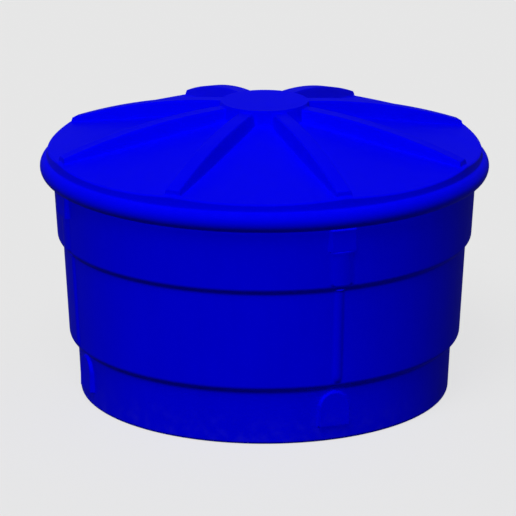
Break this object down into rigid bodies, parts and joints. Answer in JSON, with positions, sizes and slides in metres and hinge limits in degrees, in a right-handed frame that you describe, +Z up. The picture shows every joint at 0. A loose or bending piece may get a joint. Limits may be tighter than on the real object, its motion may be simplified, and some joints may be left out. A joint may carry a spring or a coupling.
{
  "type": "round covered livestock water tank",
  "caption": "Round, stepped and tapered plastic water tank for livestock, with a ribbed domed lift-off lid, float valve, outlet valve, overflow and drain plug.",
  "frame": {"origin": "on the floor, on the tank's centre line", "axes": "+Z up along the tank's centre line; -Y is the middle of the lid panel that faces the front view; the inlet and outlet stand at azimuth -157.5 degrees and the overflow and drain at 112.5 degrees, counted from -Y towards +X"},
  "size_m": [1.46, 1.46, 0.965],
  "materials": {
    "tank_plastic": "satin",
    "lid_plastic": "semi-gloss",
    "fitting_plastic": "satin",
    "rubber": "matte",
    "brass": "machined",
    "steel": "brushed",
    "seat_plastic": "smooth",
    "valve_plastic": "satin",
    "float_plastic": "glossy",
    "grip_plastic": "soft"
  },
  "bodies": {
    "tank": {"tank_body": "tank_plastic", "inlet_connector": "fitting_plastic", "inlet_gasket": "rubber", "inlet_nut": "fitting_plastic", "float_valve_body": "brass", "float_valve_seat": "seat_plastic", "float_pivot_pin": "steel", "overflow_connector": "fitting_plastic", "overflow_gasket": "rubber", "overflow_nut": "fitting_plastic", "overflow_screen": "steel", "outlet_connector": "fitting_plastic", "outlet_gasket": "rubber", "outlet_nut": "fitting_plastic", "outlet_valve_body": "valve_plastic", "outlet_valve_end": "valve_plastic", "outlet_valve_seats": "seat_plastic", "drain_connector": "fitting_plastic", "drain_gasket": "rubber", "drain_nut": "fitting_plastic"},
    "lid": {"lid_shell": "lid_plastic"},
    "float_arm": {"float_lever": "brass", "float_rod": "brass", "float_ball": "float_plastic", "float_rod_nuts": "steel"},
    "plunger": {"valve_plunger": "brass", "plunger_washer": "rubber"},
    "outlet_key": {"outlet_valve_ball": "steel", "outlet_valve_stem": "steel", "outlet_handle": "steel", "outlet_handle_grip": "grip_plastic", "outlet_handle_nut": "steel"},
    "drain_closure": {"drain_plug": "fitting_plastic", "drain_plug_seal": "rubber"}
  },
  "joints": [
    {"name": "lid_lift", "type": "slide", "parent": "tank", "child": "lid", "axis": [0, 0, 1], "range_m": [0, 0.5]},
    {"name": "float_arm_hinge", "type": "hinge", "parent": "tank", "child": "float_arm", "pos_m": [-0.23705, 0.5723, 0.659], "axis": [-0.9239, -0.3827, 0], "range_deg": [0, 22]},
    {"name": "plunger_slide", "type": "slide", "parent": "tank", "child": "plunger", "axis": [-0.3827, 0.9239, 0], "range_m": [0, 0.00922]},
    {"name": "outlet_key_hinge", "type": "hinge", "parent": "tank", "child": "outlet_key", "pos_m": [-0.25798, 0.62282, 0.104], "axis": [0, 0, 1], "range_deg": [0, 90]},
    {"name": "drain_plug_slide", "type": "slide", "parent": "tank", "child": "drain_closure", "axis": [0.9239, 0.3827, 0], "range_m": [0, 0.045]}
  ],
  "couplings": [
    {"joint": "plunger_slide", "follows": "float_arm_hinge", "m_per_rad": 0.024}
  ]
}
